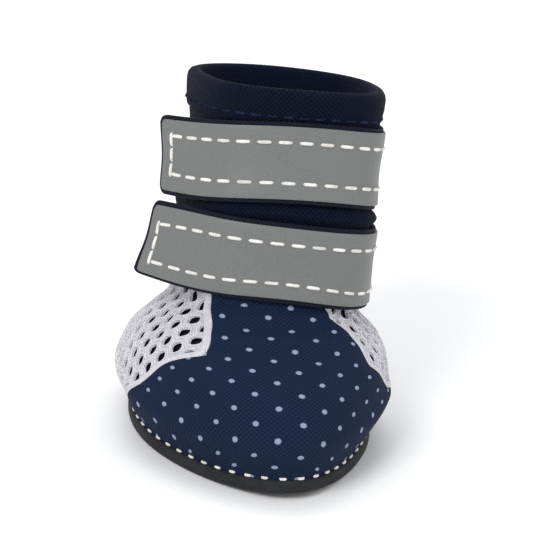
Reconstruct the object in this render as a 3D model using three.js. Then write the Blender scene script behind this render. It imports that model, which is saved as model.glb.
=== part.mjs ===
// A boot for a small dog's paw: a rubber cup sole, an insole, a cloth upper on an oval last,
// a cloth shaft that leans back over the heel, and two straps that wrap round the shaft.
// Millimetres, +Z up. The toe points to -Y, the strap ends lie on the -X side, and the origin
// is on the floor under the middle of the sole.
import * as THREE from "three";

// ---- Driving dimensions -------------------------------------------------------------------
const FOOT_LENGTH = 61; // over the widest swell of the upper, toe to heel
const BALL_WIDTH = 42.6; // over the widest swell of the upper
const INSTEP_HEIGHT = 23.5; // floor to the front of the ankle line
const HEEL_HEIGHT = 15; // floor to the back of the ankle line
const TOE_SWING = 0.7; // how far the toe's tip swings over to +X
const SIDE_LEAN = 6; // degrees that the ankle and shaft lean over to +X
const SIDE_SHIFT = 2.3; // how far the ankle line's middle lies over to +X
const TOE_SPRING = 1.5; // lift of the sole's edge at the toe
const TOE_SPRING_RUN = 14; // length of sole that curves up to that lift
const SHAFT_LENGTH = 36; // ankle line to collar, along the shaft

const GAP = 0.3; // between pieces that lie on each other
const UPPER_WALL = 1.6; // cloth or net with its lining
const SLEEVE = 4.5; // how far the upper runs up the shaft, to a seam under the lower strap
const SHAFT_WALL = 2; // brushed cloth, folded double at the collar
const PLATE = 1.3; // sole under the foot
const RIM_TOP = 2.3; // height of the sole's turned-up rim
const RIM_WALL = 0.9;
const SOLE_ROUND = 0.7; // rounding of the sole's bottom edge
const RIM_ROUND = 0.6; // rounding of the rim's top edge
const INSOLE = 2;
const INSOLE_ROUND = 0.6;
const INSOLE_GAP = 0.5; // between the insole and the inside of the upper
const STRAP_WIDTH = 13.2;
const STRAP_THICKNESS = 1.6;
const STRAP_SEPARATION = 15.5; // centre to centre, along the front of the shaft

// ---- Last: sections as shares of the driving dimensions --------------------------------------
// A table's rows as objects that hold their values under the columns' names.
function table(columns, rows) {
  return rows.map((row) => Object.fromEntries(columns.map((name, k) => [name, row[k]])));
}

// Each row is one closed line round the foot, from the lasted edge up to the ankle line.
// front and back are shares of half the length, frontUp a share of the instep height, backUp a
// share of the heel height and width a share of the ball width. egg makes the toe end broader
// than the heel end, or narrower where it is negative. full makes the toe squarer, or more
// pointed where it is negative. spring is the row's share of the toe spring, and lean its share
// of the lean and shift to +X.
const LAST = table(
  ["front", "frontUp", "back", "backUp", "width", "egg", "full", "spring", "lean"],
  [
    [0.9, 0.07, 0.9, 0.11, 0.8, -0.13, -0.035, 1, 0], // lasted edge
    [0.925, 0.125, 0.925, 0.2, 0.84, -0.13, -0.035, 1, 0], // rim line
    [1, 0.345, 0.985, 0.53, 1, -0.13, -0.035, 0.8, 0.05], // swell
    [0.985, 0.485, 0.985, 0.667, 0.99, -0.13, -0.035, 0.6, 0.15], // upper swell
    [0.9, 0.635, 0.965, 0.773, 0.955, -0.12, -0.02, 0.35, 0.35], // crown
    [0.77, 0.745, 0.93, 0.847, 0.906, -0.06, -0.02, 0.15, 0.55], // dome
    [0.61, 0.832, 0.885, 0.907, 0.846, -0.02, 0, 0, 0.75], // throat
    [0.45, 0.911, 0.835, 0.953, 0.776, 0, 0.01, 0, 0.9], // instep
    [0.31, 1, 0.787, 1, 0.697, 0, 0.02, 0, 1], // ankle line
  ],
);
const LASTED_EDGE = 0;
const RIM_LINE = 1;
const ANKLE_LINE = LAST.length - 1;

// The shaft's girth: up is a share of its length, girth a share of the ankle line's oval.
const SHAFT = table(
  ["up", "girth"],
  [
    [0, 1],
    [0.1, 0.965],
    [0.23, 0.95],
    [0.44, 0.985],
    [0.65, 0.955],
    [0.84, 0.985],
    [1, 1.03],
  ],
);

const AROUND = 48; // facets round the foot and the shaft
const STEP = 1e-3; // small step for finding directions on a surface
const rad = THREE.MathUtils.degToRad;

// ---- Curves -----------------------------------------------------------------------------------
// Catmull-Rom value of one column of a table, at a fractional row.
function column(rows, key, at) {
  const i = THREE.MathUtils.clamp(Math.floor(at), 0, rows.length - 2);
  const t = at - i;
  const value = (k) => rows[THREE.MathUtils.clamp(k, 0, rows.length - 1)][key];
  const [p0, p1, p2, p3] = [value(i - 1), value(i), value(i + 1), value(i + 2)];
  const slopeIn = (p2 - p0) / 2;
  const slopeOut = (p3 - p1) / 2;
  const cubic = 2 * p1 - 2 * p2 + slopeIn + slopeOut;
  const square = -3 * p1 + 3 * p2 - 2 * slopeIn - slopeOut;
  return ((cubic * t + square) * t + slopeIn) * t + p1;
}

// Oval of half-width and half-length 1. Turn 0 is the toe, a quarter turn is the +X side.
function oval(turn, egg, full) {
  const squarer = (full * (1 + Math.cos(turn))) / 2;
  const side = (Math.sin(turn) + squarer * Math.sin(3 * turn)) / (1 - squarer);
  const along = -(Math.cos(turn) - squarer * Math.cos(3 * turn)) / (1 - squarer);
  return { side: side * (1 - egg * along) * (1 - egg * egg / 2), along };
}

// Lift of the sole and lower upper towards the toe, at a distance y along the boot.
function toeLift(y) {
  const start = -FOOT_LENGTH / 2 + TOE_SPRING_RUN;
  const run = Math.max(0, (start - y) / TOE_SPRING_RUN);
  return TOE_SPRING * run * run;
}

// A point of the foot's outer surface: turn round the last, row up it.
function footPoint(turn, row) {
  const get = (key) => column(LAST, key, row);
  const { side, along } = oval(turn, get("egg"), get("full"));
  const half = FOOT_LENGTH / 2;
  const share = (along + 1) / 2; // 0 at the toe, 1 at the heel
  const y = THREE.MathUtils.lerp(-half * get("front"), half * get("back"), share);
  const z = THREE.MathUtils.lerp(INSTEP_HEIGHT * get("frontUp"), HEEL_HEIGHT * get("backUp"), share);
  const x = (side * BALL_WIDTH * get("width")) / 2;
  const drop = x * Math.tan(rad(SIDE_LEAN)) * get("lean");
  const toeShare = Math.max(0, -y / half);
  const shift = TOE_SWING * toeShare * toeShare + SIDE_SHIFT * get("lean");
  return new THREE.Vector3(x + shift, y, z + toeLift(y) * get("spring") - drop);
}

// The shaft stands square to the plane of the ankle line.
const ANKLE_FRONT = footPoint(0, ANKLE_LINE);
const ANKLE_BACK = footPoint(Math.PI, ANKLE_LINE);
const ANKLE_CENTRE = ANKLE_FRONT.clone().lerp(ANKLE_BACK, 0.5);
const HALF_DEPTH = ANKLE_BACK.clone().sub(ANKLE_CENTRE);
const HALF_WIDTH = footPoint(Math.PI / 2, ANKLE_LINE).sub(ANKLE_CENTRE);
const SHAFT_AXIS = HALF_WIDTH.clone().cross(HALF_DEPTH).normalize();

// Girth share at a height above the ankle line, from the table's rows at unequal heights.
function girthAt(height) {
  const share = THREE.MathUtils.clamp(height / SHAFT_LENGTH, 0, 1);
  const i = Math.max(0, SHAFT.findLastIndex((row, k) => row.up <= share && k < SHAFT.length - 1));
  return column(SHAFT, "girth", i + (share - SHAFT[i].up) / (SHAFT[i + 1].up - SHAFT[i].up));
}

// A point of the shaft's outer surface, at a height along its axis above the ankle line. Its front
// turns squarer over the first few mm.
const SHAFT_FULL = 0.07;
const SQUARE_RISE = 8;
function shaftPoint(turn, height) {
  const squared = THREE.MathUtils.smoothstep(height, 0, SQUARE_RISE);
  const full = THREE.MathUtils.lerp(LAST[ANKLE_LINE].full, SHAFT_FULL, squared);
  const { side, along } = oval(turn, 0, full);
  const girth = girthAt(height);
  return ANKLE_CENTRE.clone()
    .addScaledVector(SHAFT_AXIS, height)
    .addScaledVector(HALF_DEPTH, along * girth)
    .addScaledVector(HALF_WIDTH, side * girth);
}

// A point moved out along the normal of a surface point(turn, up), found by small steps.
function offset(point, turn, up, distance) {
  const round = point(turn + STEP, up).sub(point(turn - STEP, up));
  const rise = point(turn, up + STEP).sub(point(turn, up - STEP));
  return point(turn, up).addScaledVector(round.cross(rise).normalize(), distance);
}

// ---- Rings and skins ----------------------------------------------------------------------------
function turns(count) {
  return Array.from({ length: count }, (_, i) => (2 * Math.PI * i) / count);
}

function ring(pointAtTurn) {
  return turns(AROUND).map(pointAtTurn);
}

// Skin over a list of rings of equal count, each joined to the next. A loop joins the last ring
// to the first, and otherwise both ends are closed by a fan from the middle of the end ring.
function skin(rings, loop) {
  const count = rings[0].length;
  const positions = rings.flat().flatMap((p) => p.toArray());
  const index = [];
  const spans = loop ? rings.length : rings.length - 1;
  for (let r = 0; r < spans; r++) {
    for (let i = 0; i < count; i++) {
      const next = (i + 1) % count;
      const low = r * count;
      const high = ((r + 1) % rings.length) * count;
      index.push(low + i, low + next, high + next, low + i, high + next, high + i);
    }
  }
  const closeEnd = (start, points, facing) => {
    const middle = points.reduce((sum, p) => sum.add(p), new THREE.Vector3()).divideScalar(count);
    const centre = positions.push(...middle.toArray()) / 3 - 1;
    for (let i = 0; i < count; i++) {
      const [a, b] = [start + i, start + ((i + 1) % count)];
      index.push(centre, ...(facing < 0 ? [b, a] : [a, b]));
    }
  };
  if (!loop) {
    closeEnd(0, rings[0], -1);
    closeEnd((rings.length - 1) * count, rings.at(-1), 1);
  }
  const geometry = new THREE.BufferGeometry();
  geometry.setAttribute("position", new THREE.Float32BufferAttribute(positions, 3));
  geometry.setIndex(index);
  geometry.computeVertexNormals();
  return geometry;
}

// A hollow wall through a surface at a list of heights: its outside going up, its inside down.
function hollowWall(point, ups, wall) {
  const face = (up, distance) => ring((turn) => offset(point, turn, up, distance));
  const outside = ups.map((up) => face(up, 0));
  const inside = ups.map((up) => face(up, -wall)).reverse();
  return skin([...outside, ...inside], true);
}

function evenSteps(low, high, steps) {
  return Array.from({ length: steps + 1 }, (_, i) => THREE.MathUtils.lerp(low, high, i / steps));
}

// ---- Pieces ---------------------------------------------------------------------------------------
// A ring in plan under the foot: a last line grown outwards by grow, shrunk to a share of itself
// about the middle of the sole, at a height above the sole's curved floor line.
const FAN_CENTRE_Y = 4; // the fans' shared corner stays off the origin
function planRing(row, grow, share, height) {
  return ring((turn) => {
    const p = footPoint(turn, row);
    const [before, after] = [footPoint(turn - STEP, row), footPoint(turn + STEP, row)];
    const across = new THREE.Vector2(after.y - before.y, before.x - after.x).normalize();
    const x = (p.x + across.x * grow) * share;
    const y = THREE.MathUtils.lerp(FAN_CENTRE_Y, p.y + across.y * grow, share);
    return new THREE.Vector3(x, y, height + toeLift(y));
  });
}

// Cup sole: a flat plate with its rim turned up round the lasted edge of the upper.
function outsole() {
  const outer = GAP + RIM_WALL;
  const tread = outer - SOLE_ROUND;
  return skin(
    [
      planRing(RIM_LINE, tread, 0.4, 0),
      planRing(RIM_LINE, tread, 0.75, 0),
      planRing(RIM_LINE, tread, 1, 0),
      planRing(RIM_LINE, outer - SOLE_ROUND * 0.3, 1, SOLE_ROUND * 0.3),
      planRing(RIM_LINE, outer, 1, SOLE_ROUND),
      planRing(RIM_LINE, outer, 1, RIM_TOP - RIM_ROUND),
      planRing(RIM_LINE, outer - RIM_ROUND * 0.3, 1, RIM_TOP - RIM_ROUND * 0.3),
      planRing(RIM_LINE, outer - RIM_ROUND, 1, RIM_TOP),
      planRing(RIM_LINE, GAP, 1, RIM_TOP - RIM_ROUND * 0.4),
      planRing(LASTED_EDGE, GAP, 1, PLATE),
      planRing(LASTED_EDGE, 0, 0.75, PLATE),
      planRing(LASTED_EDGE, 0, 0.4, PLATE),
    ],
    false,
  );
}

// Insole: a foam sheet inside the upper's lasted edge, with its top edge rounded off.
function insole() {
  const inset = -(UPPER_WALL + INSOLE_GAP);
  const floor = PLATE + GAP;
  const top = floor + INSOLE;
  return skin(
    [
      planRing(LASTED_EDGE, inset, 0.5, floor),
      planRing(LASTED_EDGE, inset, 0.8, floor),
      planRing(LASTED_EDGE, inset, 1, floor),
      planRing(LASTED_EDGE, inset, 1, top - INSOLE_ROUND),
      planRing(LASTED_EDGE, inset - INSOLE_ROUND, 1, top),
      planRing(LASTED_EDGE, inset - INSOLE_ROUND, 0.8, top),
      planRing(LASTED_EDGE, inset - INSOLE_ROUND, 0.5, top),
    ],
    false,
  );
}

// Upper: one wall over the whole foot and a little way up the shaft, open under the sole and at
// the seam. The rows above the ankle line are the sleeve, a row for each mm up the shaft.
function upper() {
  const point = (turn, row) =>
    row < ANKLE_LINE ? footPoint(turn, row) : shaftPoint(turn, row - ANKLE_LINE);
  const rows = [...evenSteps(LASTED_EDGE, 4, 8), ...evenSteps(5, ANKLE_LINE, ANKLE_LINE - 5)];
  const sleeve = [ANKLE_LINE + SLEEVE / 2, ANKLE_LINE + SLEEVE];
  return hollowWall(point, [...rows, ...sleeve], UPPER_WALL);
}

// Shaft: one wall from the seam to the collar.
function shaft() {
  return hollowWall(shaftPoint, evenSteps(SLEEVE + GAP, SHAFT_LENGTH, 8), SHAFT_WALL);
}

// A strap is sewn on at the back seam, passes round the +X side and the front, and ends in a free
// tab on the -X side that stands a little off the shaft. It slopes down towards +X by slope mm and
// stands arch mm higher at the front and lower at the sides. Flare is how much further than its
// middle the tab's lower edge stands off.
const STRAP_ROOT = 173; // degrees of turn
const TAB_START = -40;
const STRAP_STATIONS = 32;
const STRAP_EDGE = 0.5; // chamfer of the strap's edges
const TAB_CUT = 1.2; // how much the tab's corners are cut off
function strap({ centre, slope, arch, end, tabLift, flare }) {
  const half = STRAP_WIDTH / 2;
  const section = [
    [-half, STRAP_EDGE],
    [-half + STRAP_EDGE, 0],
    [half - STRAP_EDGE, 0],
    [half, STRAP_EDGE],
    [half, STRAP_THICKNESS - STRAP_EDGE],
    [half - STRAP_EDGE, STRAP_THICKNESS],
    [-half + STRAP_EDGE, STRAP_THICKNESS],
    [-half, STRAP_THICKNESS - STRAP_EDGE],
  ];
  const stations = Array.from({ length: STRAP_STATIONS + 1 }, (_, i) => {
    const degrees = THREE.MathUtils.lerp(end, STRAP_ROOT, i / STRAP_STATIONS);
    const turn = rad(degrees);
    const line = centre - slope * Math.sin(turn) + arch * Math.cos(2 * turn);
    const tab = THREE.MathUtils.clamp((TAB_START - degrees) / (TAB_START - end), 0, 1);
    const narrowed = i === 0 ? 1 - TAB_CUT / half : 1;
    return section.map(([across, proud]) => {
      const height = line + across * narrowed;
      const lift = tabLift * tab * tab * (1 - (flare * across) / half);
      return offset(shaftPoint, turn, height, GAP + proud + lift);
    });
  });
  return skin(stations, false);
}

// ---- Materials and assembly -------------------------------------------------------------------------
const rubber = new THREE.MeshStandardMaterial({ color: 0x232324, roughness: 0.85, metalness: 0 });
const dottedCloth = new THREE.MeshStandardMaterial({ color: 0x1c2843, roughness: 0.9, metalness: 0 });
const brushedCloth = new THREE.MeshStandardMaterial({ color: 0x141a2c, roughness: 1, metalness: 0 });
const foam = new THREE.MeshStandardMaterial({ color: 0x2c2c30, roughness: 1, metalness: 0 });
const reflectiveTape = new THREE.MeshStandardMaterial({ color: 0x84857f, roughness: 0.5, metalness: 0.1 });

const LOWER_STRAP = { centre: 8.3, slope: 0.7, arch: 0, end: -80, tabLift: 5.6, flare: 0.25 };
const UPPER_CENTRE = LOWER_STRAP.centre + STRAP_SEPARATION;
const UPPER_STRAP = {
  centre: UPPER_CENTRE,
  slope: -0.3,
  arch: 0.7,
  end: -84,
  tabLift: 4.2,
  flare: -0.15,
};

const boot = new THREE.Group();
const add = (name, geometry, material) => {
  const mesh = new THREE.Mesh(geometry, material);
  mesh.name = name;
  boot.add(mesh);
};
add("outsole", outsole(), rubber);
add("insole", insole(), foam);
add("upper", upper(), dottedCloth);
add("shaft", shaft(), brushedCloth);
add("strap_lower", strap(LOWER_STRAP), reflectiveTape);
add("strap_upper", strap(UPPER_STRAP), reflectiveTape);

export default boot;
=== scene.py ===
"""Looks of a small dog's boot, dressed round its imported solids.

Each cloth piece is cut and worked flat, and then lasted: its points are laid on the boot's own
surface at a turn round the last and a height up it. Lengths are in millimetres until then.
"""
import math

import bpy
import numpy as np
from mathutils import Matrix, Vector


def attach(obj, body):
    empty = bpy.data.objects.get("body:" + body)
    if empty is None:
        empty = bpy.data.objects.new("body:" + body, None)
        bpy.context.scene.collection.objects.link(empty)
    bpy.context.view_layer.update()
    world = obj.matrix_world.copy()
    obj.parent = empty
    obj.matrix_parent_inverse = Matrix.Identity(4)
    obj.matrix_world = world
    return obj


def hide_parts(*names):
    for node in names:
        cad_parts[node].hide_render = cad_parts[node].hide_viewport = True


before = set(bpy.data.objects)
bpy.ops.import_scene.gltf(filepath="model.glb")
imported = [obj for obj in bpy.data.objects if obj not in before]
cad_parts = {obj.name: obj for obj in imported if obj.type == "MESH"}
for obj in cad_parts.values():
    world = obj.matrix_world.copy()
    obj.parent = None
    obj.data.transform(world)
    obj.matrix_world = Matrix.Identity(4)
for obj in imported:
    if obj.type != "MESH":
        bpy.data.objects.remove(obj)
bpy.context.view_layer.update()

MM = 0.001

# ---- Sizes in mm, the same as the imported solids' -------------------------------------------------
FOOT_LENGTH = 61
BALL_WIDTH = 42.6
INSTEP_HEIGHT = 23.5
HEEL_HEIGHT = 15
TOE_SWING = 0.7  # how far the toe's tip swings over to +X
SIDE_LEAN = 6  # degrees that the ankle and shaft lean over to +X
SIDE_SHIFT = 2.3
TOE_SPRING = 1.5
TOE_SPRING_RUN = 14
SHAFT_LENGTH = 36
GAP = 0.3  # between pieces that lie on each other
UPPER_WALL = 1.6
SLEEVE = 4.5  # how far the upper runs up the shaft
SHAFT_WALL = 2
PLATE = 1.3  # sole under the foot
RIM_TOP = 2.3
RIM_WALL = 0.9
SOLE_ROUND = 0.7
INSOLE = 2
INSOLE_GAP = 0.5
SOLE_MIDDLE_Y = 4
STRAP_HALF = 6.6
STRAP_ROOT = 173  # degrees of turn, where a strap is sewn on
TAB_START = -40  # degrees of turn, where its free tab begins to stand off
# A strap's middle line runs round the shaft at its centre's height, lower by slope at +X and higher
# by arch at the front and back. seat is how far its underside lies off the shaft, and tab_lift how
# far the tab's end stands off, with more by a share of flare at its lower edge. end is the degrees
# of turn at the tab's end, and first_stitch the degrees from there to the first row across.
LOWER_STRAP = {
    "name": "lower", "centre": 8.3, "slope": 0.7, "arch": 0, "seat": 0.95,
    "end": -80, "tab_lift": 5.6, "flare": 0.25, "first_stitch": 6,
}
UPPER_STRAP = {
    "name": "upper", "centre": 23.8, "slope": -0.3, "arch": 0.7, "seat": 0.45,
    "end": -84, "tab_lift": 4.2, "flare": -0.15, "first_stitch": 8,
}

# ---- The last and the shaft, as shares of the sizes ----------------------------------------------
# Each column holds a value for every line round the foot, from the lasted edge up to the ankle.
LAST = {
    "front": (0.9, 0.925, 1, 0.985, 0.9, 0.77, 0.61, 0.45, 0.31),
    "front_up": (0.07, 0.125, 0.345, 0.485, 0.635, 0.745, 0.832, 0.911, 1),
    "back": (0.9, 0.925, 0.985, 0.985, 0.965, 0.93, 0.885, 0.835, 0.787),
    "back_up": (0.11, 0.2, 0.53, 0.667, 0.773, 0.847, 0.907, 0.953, 1),
    "width": (0.8, 0.84, 1, 0.99, 0.955, 0.906, 0.846, 0.776, 0.697),
    "egg": (-0.13, -0.13, -0.13, -0.13, -0.12, -0.06, -0.02, 0, 0),
    "full": (-0.035, -0.035, -0.035, -0.035, -0.02, -0.02, 0, 0.01, 0.02),
    "spring": (1, 1, 0.8, 0.6, 0.35, 0.15, 0, 0, 0),
    "lean": (0, 0, 0.05, 0.15, 0.35, 0.55, 0.75, 0.9, 1),
}
LASTED_EDGE = 0
RIM_LINE = 1
ANKLE = 8
SHAFT_UP = (0, 0.1, 0.23, 0.44, 0.65, 0.84, 1)
SHAFT_GIRTH = (1, 0.965, 0.95, 0.985, 0.955, 0.985, 1.03)
SHAFT_FULL = 0.07  # how square the shaft's front is
SQUARE_RISE = 8  # mm up from the ankle line, over which it grows so
BEND_REACH = 0.8  # mm up and down that the bend at the ankle line is rounded over
BEND_SPREAD = 1.2  # mm from the ankle line over which that fades
TURN_STEP = 1e-3  # radians either way of a place, to find its slope
RISE_STEP = 0.2


def column(values, at):
    """Catmull-Rom value of a column at fractional rows."""
    values = np.asarray(values, float)
    end = len(values) - 1
    i = np.clip(np.floor(at).astype(int), 0, end - 1)
    t = at - i
    p0, p1, p2, p3 = (values[np.clip(i + k, 0, end)] for k in (-1, 0, 1, 2))
    slope_in, slope_out = (p2 - p0) / 2, (p3 - p1) / 2
    cubic = 2 * p1 - 2 * p2 + slope_in + slope_out
    square = -3 * p1 + 3 * p2 - 2 * slope_in - slope_out
    return ((cubic * t + square) * t + slope_in) * t + p1


def oval(turn, egg, full):
    """Oval of half-width and half-length 1: egg sets its ends apart, full squares the toe."""
    squarer = full * (1 + np.cos(turn)) / 2
    side = (np.sin(turn) + squarer * np.sin(3 * turn)) / (1 - squarer)
    along = -(np.cos(turn) - squarer * np.cos(3 * turn)) / (1 - squarer)
    return side * (1 - egg * along) * (1 - egg * egg / 2), along


def toe_lift(y):
    start = -FOOT_LENGTH / 2 + TOE_SPRING_RUN
    return TOE_SPRING * (np.maximum(0, start - y) / TOE_SPRING_RUN) ** 2


def foot_point(turn, row):
    """Outer surface of the foot. Turn 0 is the toe, a quarter turn the +X side."""
    turn, row = np.broadcast_arrays(np.asarray(turn, float), np.asarray(row, float))
    at = {name: column(values, row) for name, values in LAST.items()}
    side, along = oval(turn, at["egg"], at["full"])
    half = FOOT_LENGTH / 2
    share = (along + 1) / 2
    y = -half * at["front"] + share * half * (at["front"] + at["back"])
    z = INSTEP_HEIGHT * at["front_up"] * (1 - share) + HEEL_HEIGHT * at["back_up"] * share
    x = side * BALL_WIDTH * at["width"] / 2
    drop = x * math.tan(math.radians(SIDE_LEAN)) * at["lean"]
    toe = np.maximum(0, -y / half)
    x = x + TOE_SWING * toe * toe + SIDE_SHIFT * at["lean"]
    return np.stack([x, y, z + toe_lift(y) * at["spring"] - drop], -1)


ANKLE_FRONT = foot_point(0, ANKLE)
ANKLE_BACK = foot_point(math.pi, ANKLE)
ANKLE_CENTRE = (ANKLE_FRONT + ANKLE_BACK) / 2
HALF_DEPTH = ANKLE_BACK - ANKLE_CENTRE
HALF_WIDTH = foot_point(math.pi / 2, ANKLE) - ANKLE_CENTRE
SHAFT_AXIS = np.cross(HALF_WIDTH, HALF_DEPTH)
SHAFT_AXIS /= np.linalg.norm(SHAFT_AXIS)


def shaft_point(turn, height):
    """Outer surface of the shaft, at a height along its axis above the ankle line."""
    turn, height = np.broadcast_arrays(np.asarray(turn, float), np.asarray(height, float))
    squared = np.clip(height / SQUARE_RISE, 0, 1)
    squared = squared * squared * (3 - 2 * squared)
    ankle_full = LAST["full"][ANKLE]
    side, along = oval(turn, 0, ankle_full + squared * (SHAFT_FULL - ankle_full))
    share = np.clip(height / SHAFT_LENGTH, 0, 1)
    girth = column(SHAFT_GIRTH, np.interp(share, SHAFT_UP, range(len(SHAFT_UP))))
    point = ANKLE_CENTRE + SHAFT_AXIS * height[..., None]
    return point + HALF_DEPTH * (along * girth)[..., None] + HALF_WIDTH * (side * girth)[..., None]


def kinked_point(turn, up):
    """Foot and shaft as they meet, with a kink at the ankle line."""
    low = foot_point(turn, np.minimum(up, ANKLE))
    high = shaft_point(turn, np.maximum(up - ANKLE, 0))
    return np.where((up < ANKLE)[..., None], low, high)


def boot_point(turn, up):
    """Foot up to the ankle line, and above it the shaft, a mm of height for each unit of up."""
    turn, up = np.broadcast_arrays(np.asarray(turn, float), np.asarray(up, float))
    reach = BEND_REACH * np.exp(-((up - ANKLE) / BEND_SPREAD) ** 2)
    ends = kinked_point(turn, up - reach) + kinked_point(turn, up + reach)
    return kinked_point(turn, up) / 2 + ends / 4


def unit(vectors):
    return vectors / np.linalg.norm(vectors, axis=-1, keepdims=True)


def normal_at(surface, turn, up):
    shape = surface[0]
    around = shape(turn + TURN_STEP, up) - shape(turn - TURN_STEP, up)
    rise = shape(turn, up + RISE_STEP) - shape(turn, up - RISE_STEP)
    return unit(np.cross(around, rise))


def lengths_along(points):
    """How far each point lies from the first, along the line through them."""
    steps = np.linalg.norm(np.diff(points, axis=0), axis=-1)
    return np.concatenate([np.zeros((1, *steps.shape[1:])), np.cumsum(steps, axis=0)])


def raised(surface, turn, up, lift):
    """Points lift mm above a surface, which is a shape and the relief of the cloth on it."""
    turn, up, lift = np.broadcast_arrays(*(np.asarray(v, float) for v in (turn, up, lift)))
    shape, relief = surface
    return shape(turn, up) + normal_at(surface, turn, up) * (relief(turn, up) + lift)[..., None]


# Folds pressed in or pushed up: degrees of turn and the row at the middle, reach in each,
# slant in rows for each degree, and lift in mm.
FOLDS = (
    (-14, 7.2, 30, 0.30, 0.008, -0.75),
    (-8, 6.68, 30, 0.34, -0.004, 0.42),
    (8, 6.1, 24, 0.30, -0.008, -0.38),
    (62, 6.4, 12, 0.9, 0.02, -0.35),
    (92, 6.2, 14, 1.1, 0.01, 0.30),
    (118, 5.4, 13, 1.3, -0.01, -0.35),
    (-64, 6.6, 10, 1.0, -0.03, 0.35),
    (-80, 6.0, 9, 1.2, -0.02, -0.40),
    (-104, 6.0, 12, 1.3, 0.0, 0.35),
    (-126, 5.2, 12, 1.2, 0.01, -0.35),
)


UNEVEN = 0.12  # mm that the upper is uneven all round, above its lasted edge


def folds(turn, up):
    """How far the cloth of the upper is pushed in or out by its folds, in mm."""
    degrees = np.degrees((turn + math.pi) % (2 * math.pi) - math.pi)
    lift = UNEVEN * np.sin(3 * turn + 0.9 * up) * np.clip(up - 1.5, 0, 1)
    for middle, height, reach, tall, slant, depth in FOLDS:
        across = (degrees - middle) / reach
        rise = (up - height - slant * (degrees - middle)) / tall
        lift = lift + depth * np.exp(-across ** 2 - rise ** 2)
    return lift


def strap_surface(strap):
    """Underside of a strap: turn round the shaft, across its width from the middle."""
    def shape(turn, across):
        line = strap["centre"] - strap["slope"] * np.sin(turn) + strap["arch"] * np.cos(2 * turn)
        return shaft_point(turn, line + across)

    def relief(turn, across):
        # The tab's share is 1 at its end, and may pass it a little to give the slope there.
        tab = (math.radians(TAB_START) - turn) / math.radians(TAB_START - strap["end"])
        stand = strap["tab_lift"] * np.clip(tab, 0, 1.2) ** 2
        dip = 0.1 * np.sin(3.1 * turn + strap["centre"]) * np.sin(0.4 * across)
        return strap["seat"] + stand * (1 - strap["flare"] * across / STRAP_HALF) + dip
    return shape, relief


ROLL_HEIGHT = 16  # mm up the shaft, midway between the straps
ROLL_REACH = 1.1
SLACK = 0.1  # mm that the shaft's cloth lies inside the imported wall


def rolls(turn, height):
    """Soft rolls of the shaft: full up to the lower strap's back, and fullest between the straps."""
    waves = 0.16 * np.sin(2 * turn + 0.35 * height) + 0.1 * np.sin(5 * turn - 0.5 * height)
    waves = waves * np.interp(height, (0, 3, 33, 36), (0, 1, 1, 0.2))
    middle = ROLL_HEIGHT + 0.4 * np.cos(2 * turn)
    roll = np.exp(-((height - middle) / ROLL_REACH) ** 2)
    roll = roll * (0.75 + 0.2 * np.cos(turn) + 0.4 * np.sin(turn))
    padding = np.interp(height, (7, 11, 15, 17), (0, 0.5, 0.5, 0))
    return waves + roll + padding - SLACK


UPPER = (boot_point, folds)
SHAFT = (shaft_point, rolls)


# ---- Work on a mesh ------------------------------------------------------------------------------
CREASE = math.radians(50)  # a sharper corner keeps its edge
WELD = 0.01  # mm between corners that become one


def deselect():
    if bpy.context.object and bpy.context.object.mode != "OBJECT":
        bpy.ops.object.mode_set(mode="OBJECT")
    bpy.ops.object.select_all(action="DESELECT")


def pick(piece):
    deselect()
    piece.select_set(True)
    bpy.context.view_layer.objects.active = piece


def corners(piece):
    flat = np.empty(len(piece.data.vertices) * 3)
    piece.data.vertices.foreach_get("co", flat)
    return flat.reshape(-1, 3)


def move_corners(piece, places):
    """Puts the corners at places given in mm."""
    piece.data.vertices.foreach_set("co", (np.asarray(places) * MM).ravel())
    piece.data.update()


def sheet(name, columns, rows):
    """A flat cloth 1 by 1 of columns by rows squares. Returns it with u and v of each corner."""
    deselect()
    bpy.ops.mesh.primitive_grid_add(x_subdivisions=columns, y_subdivisions=rows, size=1)
    piece = bpy.context.object
    piece.name = name
    flat = corners(piece) + 0.5
    return piece, np.clip(flat[:, 0], 0, 1), np.clip(flat[:, 1], 0, 1)


def profiled_sheet(name, profile, columns):
    """A flat cloth with a row of corners for each line of a profile, and each corner's line."""
    profile = np.asarray(profile, float)
    rows = len(profile) - 1
    piece, u, v = sheet(name, columns, rows)
    return piece, u, v, profile[np.round(v * rows).astype(int)].T


def print_on(piece, across, along):
    """Gives each corner its place on the flat cloth, in mm, for the weave and its dots."""
    layer = piece.data.uv_layers[0]
    layer.name = "cloth"
    index = np.empty(len(piece.data.loops), int)
    piece.data.loops.foreach_get("vertex_index", index)
    layer.data.foreach_set("uv", np.stack([across[index], along[index]], -1).ravel())


def select_corners(piece, chosen):
    """Opens a piece in edit mode with only the chosen corners selected."""
    pick(piece)
    bpy.ops.object.mode_set(mode="EDIT")
    bpy.ops.mesh.select_mode(type="VERT")
    bpy.ops.mesh.select_all(action="DESELECT")
    bpy.ops.object.mode_set(mode="OBJECT")
    piece.data.vertices.foreach_set("select", np.asarray(chosen, bool))
    bpy.ops.object.mode_set(mode="EDIT")


def open_whole(piece):
    """Opens a piece in edit mode with all of it selected."""
    pick(piece)
    bpy.ops.object.mode_set(mode="EDIT")
    bpy.ops.mesh.select_all(action="SELECT")


def flip(piece):
    open_whole(piece)
    bpy.ops.mesh.flip_normals()
    bpy.ops.object.mode_set(mode="OBJECT")


def weld(piece):
    open_whole(piece)
    bpy.ops.mesh.remove_doubles(threshold=WELD * MM)
    bpy.ops.object.mode_set(mode="OBJECT")


def apply_modifier(piece, kind, **settings):
    pick(piece)
    modifier = piece.modifiers.new(kind.title(), kind)
    for name, value in settings.items():
        setattr(modifier, name, value)
    bpy.ops.object.modifier_apply(modifier=modifier.name)


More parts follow.
